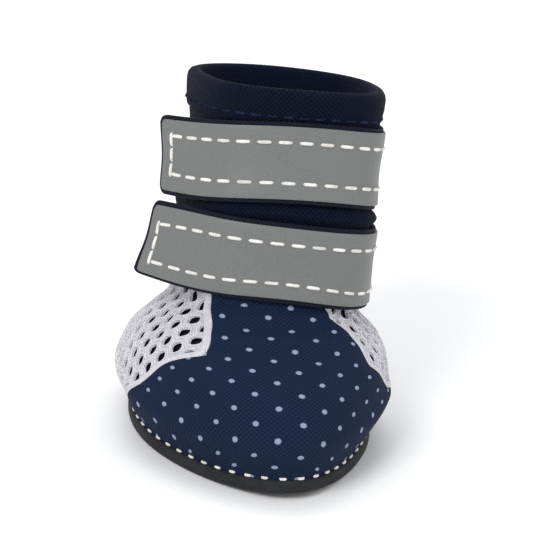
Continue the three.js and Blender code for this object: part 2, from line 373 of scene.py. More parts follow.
def thicken(piece, thickness, edge):
    """Gives a laid cloth its thickness, inwards from its face, and rolls its cut edges."""
    apply_modifier(piece, "SOLIDIFY", thickness=thickness * MM, offset=-1, use_even_offset=False)
    apply_modifier(piece, "BEVEL", width=edge * MM, segments=3, limit_method="ANGLE",
                   angle_limit=CREASE)


def finish_piece(piece, material, slot, *replaced):
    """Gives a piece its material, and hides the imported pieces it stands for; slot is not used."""
    pick(piece)
    bpy.ops.object.shade_smooth_by_angle(angle=CREASE)
    piece.data.materials.clear()
    piece.data.materials.append(material)
    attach(piece, "root")
    if replaced:
        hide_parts(*replaced)


# ---- Lines on a surface --------------------------------------------------------------------------
LINE_STEPS = 40  # steps of a smooth line between its points
ALONG_STEP = 0.05  # mm either way of a place on a line, to find its direction
BAND_STEP = 0.6  # mm of a band's length to each of its squares


def smooth_line(points):
    """A smooth line through (turn in degrees, up) points, as turn in radians and up."""
    points = np.asarray(points, float)
    spans = len(points) - 1
    at = np.linspace(0, spans, spans * LINE_STEPS + 1)
    return np.radians(column(points[:, 0], at)), column(points[:, 1], at)


def stations(surface, points, pitch, lift=0.0, inset=0.0):
    """Even places along a line on a surface: centre, ahead, sideways, outwards and length."""
    turn, up = smooth_line(points)
    line = raised(surface, turn, up, lift)
    length = lengths_along(line)
    count = max(2, round((length[-1] - 2 * inset) / pitch) + 1)
    at = np.linspace(inset, length[-1] - inset, count)
    turn, up = np.interp(at, length, turn), np.interp(at, length, up)
    centre = raised(surface, turn, up, lift)
    outwards = normal_at(surface, turn, up)
    ahead = np.stack([np.interp(at + ALONG_STEP, length, line[:, k]) for k in range(3)], -1)
    behind = np.stack([np.interp(at - ALONG_STEP, length, line[:, k]) for k in range(3)], -1)
    along = unit(ahead - behind)
    sideways = unit(np.cross(outwards, along))
    return centre, along, sideways, outwards, at


def band(name, surface, points, half, lift, thickness, edge=0.15, arch=0.0, slices=4):
    """A narrow strip of cloth laid along a line, its face lift mm above the surface."""
    centre, along, sideways, outwards, at = stations(surface, points, BAND_STEP)
    piece, u, v = sheet(name, len(at) - 1, slices)
    k = np.round(u * (len(at) - 1)).astype(int)
    across = (v * 2 - 1) * half
    rise = lift + arch * (1 - (across / half) ** 2)
    places = centre[k] + sideways[k] * across[:, None] + outwards[k] * rise[:, None]
    move_corners(piece, places)
    print_on(piece, at[k], across)
    thicken(piece, thickness, edge)
    return piece


def model_stitch(length, thickness):
    """One stitch of twisted thread, lying along X, with both ends pulled into the cloth."""
    # Share of the length, share of the thickness and rise in radii, from end to end.
    steps = (
        (-0.5, 0.5, -0.75),
        (-0.38, 0.92, -0.14),
        (0, 1, 0),
        (0.38, 0.92, -0.14),
        (0.5, 0.5, -0.75),
    )
    radius = thickness / 2 * MM
    deselect()
    bpy.ops.mesh.primitive_circle_add(
        vertices=8, radius=radius, fill_type="NGON", rotation=(0, math.pi / 2, 0))
    stitch = bpy.context.object
    bpy.ops.object.transform_apply(location=True, rotation=True, scale=True)
    open_whole(stitch)
    first = steps[0]
    bpy.ops.transform.resize(value=(first[1],) * 3)
    bpy.ops.transform.translate(value=(first[0] * length * MM, 0, first[2] * radius))
    for before, after in zip(steps, steps[1:]):
        shift = ((after[0] - before[0]) * length * MM, 0, (after[2] - before[2]) * radius)
        bpy.ops.mesh.extrude_region_move(TRANSFORM_OT_translate={"value": shift})
        bpy.ops.transform.resize(value=(1, after[1] / before[1], after[1] / before[1]))
    bpy.ops.mesh.select_all(action="SELECT")
    bpy.ops.mesh.normals_make_consistent(inside=False)
    bpy.ops.object.mode_set(mode="OBJECT")
    return stitch


def copy_along(name, model, places):
    """Copies a small piece to each station, every copy with its own mesh, and joins them."""
    centre, along, sideways, outwards, _ = places
    copies = []
    for here, ahead, side, out in zip(centre, along, sideways, outwards):
        matrix = Matrix([[*row] for row in np.stack([ahead, side, out], -1)]).to_4x4()
        matrix.translation = Vector(here * MM)
        copy = model.copy()
        copy.data = model.data.copy()
        copy.data.transform(matrix)
        bpy.context.collection.objects.link(copy)
        copies.append(copy)
    deselect()
    for copy in copies:
        copy.select_set(True)
    bpy.context.view_layer.objects.active = copies[0]
    bpy.ops.object.join()
    copies[0].name = name
    return copies[0]


# ---- Materials -----------------------------------------------------------------------------------
# A node's inputs are given by number where they share a name: 0 is a Mix node's factor, and 6 and 7
# are its colours. A Map Range takes 0 from the range 1 to 2 into the range 3 to 4.
def colour(code):
    """Linear colour of an sRGB hex value."""
    parts = [int(code[k:k + 2], 16) / 255 for k in (0, 2, 4)]
    return [c / 12.92 if c <= 0.04045 else ((c + 0.055) / 1.055) ** 2.4 for c in parts] + [1.0]


def add_node(tree, kind, inputs=None, **settings):
    """Adds a node with its settings. An input is a value or another node's output."""
    node = tree.nodes.new(kind)
    for name, value in settings.items():
        setattr(node, name, value)
    for name, value in (inputs or {}).items():
        if isinstance(value, bpy.types.NodeSocket):
            tree.links.new(value, node.inputs[name])
        else:
            node.inputs[name].default_value = value
    return node


def start_material(name, **constants):
    material = bpy.data.materials.new(name)
    material.use_nodes = True
    tree = material.node_tree
    shader = tree.nodes["Principled BSDF"]
    for key, value in constants.items():
        shader.inputs[key.replace("_", " ")].default_value = value
    return material, tree, shader


def ribs(tree, place, across, along):
    """Height of a plain weave or knit: across and along are its thread spacings in mm."""
    scaled = add_node(tree, "ShaderNodeVectorMath", {
        0: place, 1: (2 * math.pi / across, 2 * math.pi / along, 0)}, operation="MULTIPLY")
    waves = add_node(tree, "ShaderNodeVectorMath", {0: scaled.outputs[0]}, operation="SINE")
    parts = add_node(tree, "ShaderNodeSeparateXYZ", {0: waves.outputs[0]})
    return add_node(tree, "ShaderNodeMath", {
        0: parts.outputs[0], 1: parts.outputs[1]}, operation="MULTIPLY").outputs[0]


DOT_PITCH = (7.2, 4.8, 1)  # mm between dots in a row, and between every other row
DOT_RADIUS = (0.5, 0.4)
DOTS_SHIFT = (1.2, 0.6)  # mm from the middle of the vamp to the print's own start


def dotted_cloth():
    # Navy polyester jersey with small pale printed dots: a matt cloth with a fine knit grain,
    # and dots that are flat, a little smoother, and bluish white.
    material, tree, shader = start_material(
        "dotted_polyester_jersey", Roughness=0.82, Specular_IOR_Level=0.12)
    place = add_node(tree, "ShaderNodeUVMap", uv_map="cloth").outputs[0]
    cells = add_node(tree, "ShaderNodeVectorMath", {0: place, 1: DOT_PITCH}, operation="DIVIDE")
    stretch = (DOT_PITCH[0] / DOT_RADIUS[0], DOT_PITCH[1] / DOT_RADIUS[1], 0)
    nearest = []
    for shift in (0, 0.5):  # two grids half a step apart make the staggered rows
        moved = add_node(tree, "ShaderNodeVectorMath", {
            0: cells.outputs[0], 1: (shift, shift, 0)}, operation="ADD")
        part = add_node(tree, "ShaderNodeVectorMath", {0: moved.outputs[0]}, operation="FRACTION")
        centred = add_node(tree, "ShaderNodeVectorMath", {
            0: part.outputs[0], 1: (0.5, 0.5, 0)}, operation="SUBTRACT")
        sized = add_node(tree, "ShaderNodeVectorMath", {
            0: centred.outputs[0], 1: stretch}, operation="MULTIPLY")
        far = add_node(tree, "ShaderNodeVectorMath", {0: sized.outputs[0]}, operation="LENGTH")
        nearest.append(far.outputs["Value"])
    far = add_node(tree, "ShaderNodeMath", {0: nearest[0], 1: nearest[1]}, operation="MINIMUM")
    dot = add_node(tree, "ShaderNodeMapRange", {
        0: far.outputs[0], 1: 1.2, 2: 0.75}, interpolation_type="SMOOTHSTEP")
    grain = ribs(tree, place, 0.9, 0.7)  # drawn coarser than the real 0.3 mm, so that it shows
    thread = add_node(tree, "ShaderNodeMapRange", {0: grain, 1: -0.8, 2: 0.8})
    patch = add_node(tree, "ShaderNodeTexNoise", {"Vector": place, "Scale": 0.12, "Detail": 3.0})
    worn = add_node(tree, "ShaderNodeMapRange", {0: patch.outputs[0], 1: 0.35, 2: 0.7, 4: 0.5})
    # Darker between the knit's ribs and lighter on them: painted shade in the knit's hollows.
    knit = add_node(tree, "ShaderNodeMix", {
        0: thread.outputs[0], 6: colour("09142a"), 7: colour("182844")}, data_type="RGBA")
    cloth = add_node(tree, "ShaderNodeMix", {
        0: worn.outputs[0], 6: knit.outputs[2], 7: colour("15213c")}, data_type="RGBA")
    printed_cloth = add_node(tree, "ShaderNodeMix", {
        0: dot.outputs[0], 6: cloth.outputs[2], 7: colour("8c98b2")}, data_type="RGBA")
    tree.links.new(printed_cloth.outputs[2], shader.inputs["Base Color"])
    gloss = add_node(tree, "ShaderNodeMapRange", {0: dot.outputs[0], 3: 0.85, 4: 0.5})
    tree.links.new(gloss.outputs[0], shader.inputs["Roughness"])
    height = add_node(tree, "ShaderNodeMath", {
        0: dot.outputs[0], 1: 0.8, 2: grain}, operation="MULTIPLY_ADD")
    bump = add_node(tree, "ShaderNodeBump", {
        "Height": height.outputs[0], "Strength": 0.5, "Distance": 0.0001})
    tree.links.new(bump.outputs[0], shader.inputs["Normal"])
    return material


def plain_cloth(name, low, high, spacing, constants, noise_scale, depth):
    """A cloth of one dye: low is its colour in the hollows, painted shade there, and high on the
    threads, spacing the threads' in mm, and depth their height in metres, with fuzz of noise_scale
    waves to a mm."""
    material, tree, shader = start_material(name, **constants)
    place = add_node(tree, "ShaderNodeUVMap", uv_map="cloth").outputs[0]
    grain = ribs(tree, place, *spacing)
    fuzz = add_node(tree, "ShaderNodeTexNoise", {
        "Vector": place, "Scale": noise_scale, "Detail": 4.0, "Roughness": 0.7})
    height = add_node(tree, "ShaderNodeMath", {
        0: fuzz.outputs[0], 1: 2.0, 2: grain}, operation="MULTIPLY_ADD")
    share = add_node(tree, "ShaderNodeMapRange", {
        0: height.outputs[0], 2: 2.0}, interpolation_type="SMOOTHSTEP")
    # Darker where the threads sink and lighter on them: painted shade in the weave's hollows, made
    # uneven by the fuzz.
    tone = add_node(tree, "ShaderNodeMix", {
        0: share.outputs[0], 6: colour(low), 7: colour(high)}, data_type="RGBA")
    tree.links.new(tone.outputs[2], shader.inputs["Base Color"])
    bump = add_node(tree, "ShaderNodeBump", {
        "Height": height.outputs[0], "Strength": 0.6, "Distance": depth})
    tree.links.new(bump.outputs[0], shader.inputs["Normal"])
    return material


CLOUD_SIZE = 12  # grains across each lighter or darker cloud


def solid_stuff(name, low, high, size, constants, depth):
    """A grainy material with no weave: size is its grain in mm, on Object coordinates."""
    material, tree, shader = start_material(name, **constants)
    place = add_node(tree, "ShaderNodeTexCoord").outputs["Object"]
    grain = add_node(tree, "ShaderNodeTexNoise", {
        "Vector": place, "Scale": 1 / (size * MM), "Detail": 3.0, "Roughness": 0.6})
    cloud = add_node(tree, "ShaderNodeTexNoise", {
        "Vector": place, "Scale": 1 / (CLOUD_SIZE * size * MM), "Detail": 2.0})
    both = add_node(tree, "ShaderNodeMath", {
        0: grain.outputs[0], 1: cloud.outputs[0]}, operation="ADD")
    share = add_node(tree, "ShaderNodeMapRange", {
        0: both.outputs[0], 1: 0.7, 2: 1.3}, interpolation_type="SMOOTHSTEP")
    tone = add_node(tree, "ShaderNodeMix", {
        0: share.outputs[0], 6: colour(low), 7: colour(high)}, data_type="RGBA")
    tree.links.new(tone.outputs[2], shader.inputs["Base Color"])
    bump = add_node(tree, "ShaderNodeBump", {
        "Height": grain.outputs[0], "Strength": 0.5, "Distance": depth})
    tree.links.new(bump.outputs[0], shader.inputs["Normal"])
    return material


MATT = {"Roughness": 0.95, "Specular_IOR_Level": 0.1}  # cloth scatters light and hardly mirrors it
DOTTED = dotted_cloth()
# Warp-knitted polyester net, white: bright matt threads, with grey painted shade in their hollows.
NET = plain_cloth("warp_knit_polyester_net", "a9a8b0", "e8e7eb", (0.42, 0.34),
                  {"Roughness": 0.8, "Specular_IOR_Level": 0.2}, 1.3, 0.00006)
# Brushed polyester cloth of the shaft: nearly black navy with a soft nap that lightens its edges.
BRUSHED = plain_cloth("brushed_polyester_loop_cloth", "050816", "11152a", (0.8, 0.8),
                      {**MATT, "Sheen_Weight": 0.02, "Sheen_Roughness": 0.4}, 1.6, 0.00012)
# Woven nylon hook-and-loop tape: ribbed across, black navy, a little smoother on its ribs.
WEBBING = plain_cloth("woven_nylon_webbing", "05070f", "10142a", (0.7, 0.9),
                      {"Roughness": 0.75, "Specular_IOR_Level": 0.2}, 1.0, 0.0001)
# Glass-bead reflective tape on a cloth back: flat grey with a dull metal gleam and a fine grain.
TAPE = plain_cloth("glass_bead_reflective_tape", "696b6a", "7d7f7d", (0.5, 0.5),
                   {"Roughness": 0.5, "Metallic": 0.15, "Specular_IOR_Level": 0.3}, 2.2, 0.00002)
# Spun polyester thread, off-white: matt and fibrous.
THREAD = solid_stuff("spun_polyester_thread", "cfccc5", "f3f1ec", 0.25,
                     {"Roughness": 0.85, "Specular_IOR_Level": 0.2}, 0.00008)
# The same thread dyed navy: a shade lighter than the cloth, so that its rows can be made out.
NAVY_THREAD = solid_stuff("navy_polyester_thread", "0d1325", "222b47", 0.25, MATT, 0.00008)
# Moulded rubber with a fine pebbled skin: dark grey, dull.
RUBBER = solid_stuff("moulded_rubber", "191a1c", "292a2c", 0.5,
                     {"Roughness": 0.75, "Specular_IOR_Level": 0.3}, 0.00008)
# Knit-faced foam: charcoal, soft and matt.
FOAM = solid_stuff("knit_faced_foam", "202127", "35363e", 0.6, MATT, 0.00012)
# Brushed knit lining: near black, seen through the net's holes and inside the collar.
LINING = plain_cloth("brushed_knit_lining", "0c0e14", "191b24", (0.7, 0.7), MATT, 1.2, 0.0001)

# ---- Sole and insole -----------------------------------------------------------------------------
def plan_point(turn, row, grow, share, height):
    """A last line in plan, grown outwards by grow and shrunk to a share about the middle."""
    p = foot_point(turn, row)
    before, after = foot_point(turn - TURN_STEP, row), foot_point(turn + TURN_STEP, row)
    across = unit(np.stack([after[..., 1] - before[..., 1], before[..., 0] - after[..., 0]], -1))
    x = (p[..., 0] + across[..., 0] * grow) * share
    y = SOLE_MIDDLE_Y + (p[..., 1] + across[..., 1] * grow - SOLE_MIDDLE_Y) * share
    return np.stack([x, y, height + toe_lift(y)], -1)


def moulding(name, profile, around=160):
    """A closed body under the foot, through a profile of (row, grow, share, height) lines."""
    piece, u, v, (row, grow, share, height) = profiled_sheet(name, profile, around)
    move_corners(piece, plan_point(u * 2 * math.pi, row, grow, share, height))
    print_on(piece, u, v)
    weld(piece)
    return piece


def build_sole():
    outer = GAP + RIM_WALL
    tread = outer - SOLE_ROUND
    # How far each line lies outside the rim line, and its height.
    groove = [(-1.15, 0), (-1.0, 0.12), (-0.85, 0.38), (-0.45, 0.38), (-0.3, 0.12), (-0.15, 0)]
    edge = [(tread - 0.1, 0), (tread + 0.2, 0.05), (outer - 0.25, 0.18), (outer - 0.07, 0.4),
            (outer, 0.75), (outer, 1.5)]
    rim = [(outer - 0.07, 1.85), (outer - 0.25, 2.1), (outer - 0.5, 2.25),
           (GAP + 0.15, RIM_TOP), (GAP, RIM_TOP - 0.15)]
    under = [(RIM_LINE, tread, share, 0) for share in (0, 0.3, 0.6, 0.85)]
    wall = [(RIM_LINE, grow, 1, height) for grow, height in groove + edge + rim]
    bed = [(LASTED_EDGE, 0, share, PLATE) for share in (0.75, 0.4, 0)]
    profile = under + wall + [(LASTED_EDGE, GAP, 1, PLATE)] + bed
    finish_piece(moulding("rubber_outsole", profile), RUBBER, "sole_rubber", "outsole")


def build_insole():
    inset = -(UPPER_WALL + INSOLE_GAP)
    floor = PLATE + GAP
    top = floor + INSOLE
    under = [(inset, share, floor) for share in (0, 0.5, 0.9)]
    edge = [(inset, 1, floor + 0.3), (inset, 1, floor + 1.2), (inset - 0.2, 1, floor + 1.7)]
    face = [(inset - 0.7, 1, top), (inset - 2, 1, top - 0.1), (inset, 0.6, top - 0.2),
            (inset, 0.3, top - 0.3), (inset, 0, top - 0.3)]
    profile = [(LASTED_EDGE, *line) for line in under + edge + face]
    finish_piece(moulding("foam_insole", profile, 96), FOAM, "insole_foam", "insole")


# ---- Vamp ----------------------------------------------------------------------------------------
# Edge of the dotted vamp as degrees of turn and rows up, from the sole at -X up to the neck's corner
# and from its other corner down to the sole at +X. The neck's two sides are rows up and degrees.
VAMP_LEFT = (
    (-113, 0), (-107, 0.8), (-97, 1.3), (-86, 1.9), (-75.5, 3.2), (-67.2, 4.25),
    (-56.5, 4.95), (-44, 5.5),
)
NECK_LEFT = ((5.5, -44), (6.15, -41.5), (7.1, -42), (8, -45), (11, -46.5))
NECK_RIGHT = ((5.75, 46), (6.35, 42.8), (7.15, 37.3), (8, 27), (11, 24))
VAMP_RIGHT = (
    (46, 5.75), (50, 5.1), (59.5, 4.3), (67, 3.4), (75, 2.6), (90, 1.8), (103, 1.2), (113, 0),
)
VAMP_TOP = 11.0
CLOTH_LIFT = 0.75  # mm from the last to the vamp's face


def vamp_edge_at(turn, up):
    """How many degrees a place lies behind the vamp's edge, on either side."""
    degrees = np.degrees(turn)
    left = [(row, edge) for edge, row in VAMP_LEFT[:-1]] + [*NECK_LEFT]
    right = [(row, edge) for edge, row in VAMP_RIGHT[:0:-1]] + [*NECK_RIGHT]
    left_edge, right_edge = np.interp(up, *zip(*left)), np.interp(up, *zip(*right))
    return np.where(degrees < 0, left_edge - degrees, degrees - right_edge)


def cloth_lift(turn, up):
    """The vamp's face lies close to the last at its seams, under the sole's rim and the strap."""
    pressed = np.interp(up, (0.3, 0.85, 1.6, 8.6, 9.6), (0.4, 1.15, 1, 1, 0.6))
    seam = np.interp(-vamp_edge_at(turn, up), (0, 7), (0.62, 1))
    return CLOTH_LIFT * pressed * seam


def vamp_places(u, v):
    """Turn and up on the boot of the vamp's flat pattern: its body for v to 1, then its neck."""
    corners_left, corners_right = VAMP_LEFT[-1], VAMP_RIGHT[0]
    degrees = VAMP_LEFT[0][0] + u * (VAMP_RIGHT[-1][0] - VAMP_LEFT[0][0])
    left_turn, left_up = smooth_line(VAMP_LEFT)
    right_turn, right_up = smooth_line(VAMP_RIGHT)
    edge = np.interp(
        degrees,
        np.degrees(np.concatenate([left_turn, right_turn])),
        np.concatenate([left_up, right_up]),
    )
    neck = np.clip((degrees - corners_left[0]) / (corners_right[0] - corners_left[0]), 0, 1)
    base = corners_left[1] + neck * (corners_right[1] - corners_left[1])
    up = np.where(v <= 1, v * edge, base + (v - 1) * (VAMP_TOP - base))
    left = np.interp(up, *zip(*NECK_LEFT))
    right = np.interp(up, *zip(*NECK_RIGHT))
    return np.radians(np.where(v <= 1, degrees, left + neck * (right - left))), up


# The dots lie in rows square to this direction, which leans from upright towards the heel.
PRINT_UP = np.array([0.078, 0.367, 0.927])
PRINT_MIDDLE = math.radians(-6)
PRINT_REACH = 125  # degrees of turn that the print is worked out for, either way


def grid_share(value, grid):
    """The step of an even grid that a value lies in, and its share of that step."""
    at = np.clip((value - grid[0]) / (grid[1] - grid[0]), 0, len(grid) - 1.001)
    return at.astype(int), at - at.astype(int)


def printed(turn, up):
    """Distances in mm round and up the cloth as it was printed, for places on the boot."""
    rows = np.linspace(0, VAMP_TOP, 90)
    turns = np.radians(np.linspace(-PRINT_REACH, PRINT_REACH, 201))
    levels = boot_point(turns, rows[:, None]) @ PRINT_UP
    heights = np.linspace(levels.min(), levels.max(), 160)
    # Each level's line is followed round the boot, and measured from the print's middle.
    crossed = np.stack([np.interp(heights, levels[:, k], rows) for k in range(len(turns))], -1)
    around = lengths_along(boot_point(turns, crossed).swapaxes(0, 1)).T
    centre = np.array([np.interp(PRINT_MIDDLE, turns, line) for line in around])
    around = around - centre[:, None]
    height = boot_point(turn, up) @ PRINT_UP
    i, up_share = grid_share(height, heights)
    j, turn_share = grid_share(turn, turns)
    low = around[i, j] * (1 - turn_share) + around[i, j + 1] * turn_share
    high = around[i + 1, j] * (1 - turn_share) + around[i + 1, j + 1] * turn_share
    middle = boot_point(PRINT_MIDDLE, rows)
    climbed = np.interp(height, middle @ PRINT_UP, lengths_along(middle))
    return low * (1 - up_share) + high * up_share, climbed


def build_vamp():
    columns, rows, neck_rows = 190, 60, 30
    vamp, u, v = sheet("dotted_vamp", columns, rows)
    # The neck grows out of the middle of the body's top edge.
    start = VAMP_LEFT[0][0]
    span = VAMP_RIGHT[-1][0] - start
    low = (VAMP_LEFT[-1][0] - start) / span - 0.5 / columns
    high = (VAMP_RIGHT[0][0] - start) / span + 0.5 / columns
    select_corners(vamp, (v > 1 - 0.5 / rows) & (u > low) & (u < high))
    bpy.ops.mesh.select_mode(type="EDGE")
    for _ in range(neck_rows):
        bpy.ops.mesh.extrude_region_move(TRANSFORM_OT_translate={"value": (0, 1 / neck_rows, 0)})
    bpy.ops.mesh.select_mode(type="VERT")
    bpy.ops.object.mode_set(mode="OBJECT")
    flat = corners(vamp) + 0.5
    turn, up = vamp_places(flat[:, 0], flat[:, 1])
    across, along = printed(turn, up)
    move_corners(vamp, raised(UPPER, turn, up, cloth_lift(turn, up)))
    print_on(vamp, across + DOTS_SHIFT[0], along + DOTS_SHIFT[1])
    weld(vamp)  # its two lower tips come to a point, where its rows lie on each other
    thicken(vamp, thickness=0.55, edge=0.22)
    finish_piece(vamp, DOTTED, "upper_cloth", "upper")


# ---- Nets at the sides ---------------------------------------------------------------------------
# A net's flat pattern runs back along the boot by p and up from the lasted edge by q, in mm.
NET_FRONT, NET_BACK, NET_TOP = -16, 44, 40
HEEL_START = 12  # behind this the pattern turns round the heel
HEEL_RADIUS = 19
HOLE_PITCH = 3.05
ROW_PITCH = 2.7
POINTED = 0.8  # how far each hole's top rises between the two above it
# Each ring of a cell from its border in to its hole: its width, and how far the thread rises in it.
THREAD_RINGS = ((0.15, 0.36), (0.17, 0.14), (0.17, -0.14), (0.12, -0.42))
NET_SINK = 0.2  # mm that the thread's edges lie below the last
HEEL_GAP = 8  # degrees either side of the back that no net reaches
SEAM_REACH = 4.2  # mm above the ankle line that the net runs up to
CELL_REACH = 2.4  # mm back from a cell's middle to the place that must clear the vamp's edge
NET_WELD = 0.02


def side_distance(turn, up, side):
    """How far back along its side a place lies: straight to the heel, and then round it."""
    point = boot_point(turn * side, up)
    past = point[..., 1] - HEEL_START
    round_heel = HEEL_RADIUS * np.arctan2(past, side * point[..., 0])
    return np.where(past <= 0, point[..., 1], HEEL_START + round_heel)


def side_places(p, q, side):
    """Turn and up on the boot of places p, q of a side's flat pattern."""
    rows = np.concatenate([np.linspace(0, ANKLE, 49), ANKLE + np.arange(0.5, 4.6, 0.5)])
    turns = np.linspace(0, math.pi, 241)
    turn = np.stack([np.interp(p, side_distance(turns, row, side), turns) for row in rows])
    height = lengths_along(boot_point(turn * side, rows[:, None]))
    k = np.clip((height < q).sum(axis=0) - 1, 0, len(rows) - 2)
    at = np.arange(len(p))
    share = (q - height[k, at]) / np.maximum(height[k + 1, at] - height[k, at], 1e-6)
    share = np.clip(share, 0, 1)
    up = rows[k] + share * (rows[k + 1] - rows[k])
    return side * (turn[k, at] + share * (turn[k + 1, at] - turn[k, at])), up


def model_net_cell():
    """One loop of net round its hole, worked flat in mm: a six-sided ring of raised thread."""
    deselect()
    bpy.ops.mesh.primitive_circle_add(vertices=6, radius=1, fill_type="NGON")
    cell = bpy.context.object
    side, tip, shoulder = HOLE_PITCH / 2, ROW_PITCH / 2 + POINTED, ROW_PITCH / 2 - POINTED
    outline = [(0, tip), (-side, shoulder), (-side, -shoulder),
               (0, -tip), (side, -shoulder), (side, shoulder)]
    # The primitive's corners and the outline's are matched by the way they lie round the middle.
    order = np.argsort([math.atan2(v.co.x, -v.co.y) for v in cell.data.vertices])
    ring = sorted(outline, key=lambda place: math.atan2(place[0], -place[1]))
    for k, place in zip(order, ring):
        cell.data.vertices[int(k)].co = (*place, 0)
    open_whole(cell)
    for width, rise in THREAD_RINGS:
        bpy.ops.mesh.inset(thickness=width, depth=rise)
    bpy.ops.mesh.delete(type="ONLY_FACE")
    bpy.ops.object.mode_set(mode="OBJECT")
    return cell


def build_net(name, side):
    net = model_net_cell()
    net.name = name
    columns = round((NET_BACK - NET_FRONT) / HOLE_PITCH)
    double_rows = round(NET_TOP / (2 * ROW_PITCH))
    # A row of cells, then the staggered row above it, then pairs of rows up the side.
    arrays = ((columns, (HOLE_PITCH, 0, 0)), (2, (HOLE_PITCH / 2, ROW_PITCH, 0)),
              (double_rows, (0, 2 * ROW_PITCH, 0)))
    for count, offset in arrays:
        apply_modifier(net, "ARRAY", count=count, use_relative_offset=False,
                       use_constant_offset=True, constant_offset_displace=offset)
    flat = corners(net)
    # Loops that would lie far under the vamp or the heel strip, or above the seam, are cut away.
    cell_size = len(flat) // (columns * 2 * double_rows)
    middle = flat.reshape(-1, cell_size, 3).mean(axis=1)
    turn, up = side_places(NET_FRONT + middle[:, 0] + CELL_REACH, middle[:, 1], side)
    off_heel = np.degrees(np.abs(turn)) < 180 - HEEL_GAP
    kept = (vamp_edge_at(turn, up) > 0) & off_heel & (up < ANKLE + SEAM_REACH)
    select_corners(net, np.repeat(~kept, cell_size))
    bpy.ops.mesh.delete(type="VERT")
    bpy.ops.mesh.select_all(action="SELECT")
    bpy.ops.mesh.remove_doubles(threshold=NET_WELD)
    bpy.ops.object.mode_set(mode="OBJECT")
    apply_modifier(net, "SUBSURF", levels=2, render_levels=2)
    flat = corners(net)
    turn, up = side_places(NET_FRONT + flat[:, 0], flat[:, 1], side)
    print_on(net, flat[:, 0], flat[:, 1])
    move_corners(net, raised(UPPER, turn, up, flat[:, 2] - NET_SINK))
    if side < 0:
        flip(net)
    finish_piece(net, NET, "upper_cloth")


def build_net_edges():
    """The net's own woven border, a bright line a degree or more behind the vamp's edge."""
    left = [(turn - 1.2, up) for turn, up in VAMP_LEFT[:-1]]
    left += [(-47.7, 5.5)] + [(turn - 2.8, up) for up, turn in NECK_LEFT[1:]]
    right = [(turn + 1.4, up) for turn, up in VAMP_RIGHT[::-1]]
    right += [(turn + 1.6, up) for up, turn in NECK_RIGHT[1:]]
    for name, line in (("net_border_inner", left), ("net_border_outer", right)):
        piece = band(name, UPPER, line, half=0.8, lift=0.3, thickness=0.5, arch=0.15)
        finish_piece(piece, NET, "upper_cloth")


# ---- Lining, heel strip and stitches -------------------------------------------------------------
LINING_DROP = 0.7  # mm from the last in to the lining's face
CLOTH_ROUND = 110  # mm of flat cloth that goes once round the boot
HEEL_LIFT = 0.65
HEEL_CLOTH = (12, 2)  # mm of flat cloth across the strip, and to each row up
HEEL_STITCH_IN = 4  # degrees from the strip's edge in to its stitches


def tube(name, surface, profile, around=144):
    """A closed wall round the boot through a profile of (up, lift) lines."""
    piece, u, _, (up, lift) = profiled_sheet(name, profile, around)
    move_corners(piece, raised(surface, u * 2 * math.pi, up, lift))
    print_on(piece, u * CLOTH_ROUND, up)
    weld(piece)
    return piece


def build_lining():
    ups = np.concatenate([np.linspace(0, ANKLE, 33), [ANKLE + 2, ANKLE + SLEEVE - 0.2]])
    profile = [(up, -LINING_DROP) for up in ups] + [(up, -UPPER_WALL) for up in ups[::-1]]
    profile.append(profile[0])
    finish_piece(tube("knit_lining", UPPER, profile), LINING, "upper_cloth")


def heel_half(up):
    """Half the heel strip's width, in degrees of turn."""
    return np.interp(up, (0, 3, ANKLE), (17, 18, 25))


def build_heel():
    strip, u, v = sheet("heel_strip", 30, 60)
    up = v * (ANKLE + 4)
    turn = np.radians(180 + (u * 2 - 1) * heel_half(up))
    lift = HEEL_LIFT * np.interp(up, (0.5, 1.15), (0.4, 1))  # pressed in at the sole's rim
    move_corners(strip, raised(UPPER, turn, up, lift))
    print_on(strip, u * HEEL_CLOTH[0], up * HEEL_CLOTH[1])
    thicken(strip, thickness=0.5, edge=0.2)
    finish_piece(strip, BRUSHED, "upper_cloth")
    stitch = model_stitch(length=1.5, thickness=0.45)
    ups = np.linspace(1.3, ANKLE + 2.5, 9)
    for name, side in (("heel_stitches_outer", -1), ("heel_stitches_inner", 1)):
        line = [(180 + side * (heel_half(up) - HEEL_STITCH_IN), up) for up in ups]
        row = copy_along(name, stitch, stations(UPPER, line, pitch=2.4, lift=0.7, inset=0.8))
        finish_piece(row, NAVY_THREAD, "upper_cloth")
    bpy.data.objects.remove(stitch)


def build_rim_stitches():
    stitch = model_stitch(length=1.2, thickness=0.52)
    line = [(turn, 1.02) for turn in range(-106, 108, 8)]
    places = stations(UPPER, line, pitch=3.0, lift=0.9, inset=0.8)
    finish_piece(copy_along("rim_stitches", stitch, places), THREAD, "upper_cloth")
    bpy.data.objects.remove(stitch)


# ---- Shaft ---------------------------------------------------------------------------------------
COLLAR_STITCH_HEIGHT = 31.6
BACK_STITCH_TURNS = (("back_stitches_outer", 173.5), ("back_stitches_inner", 186.5))


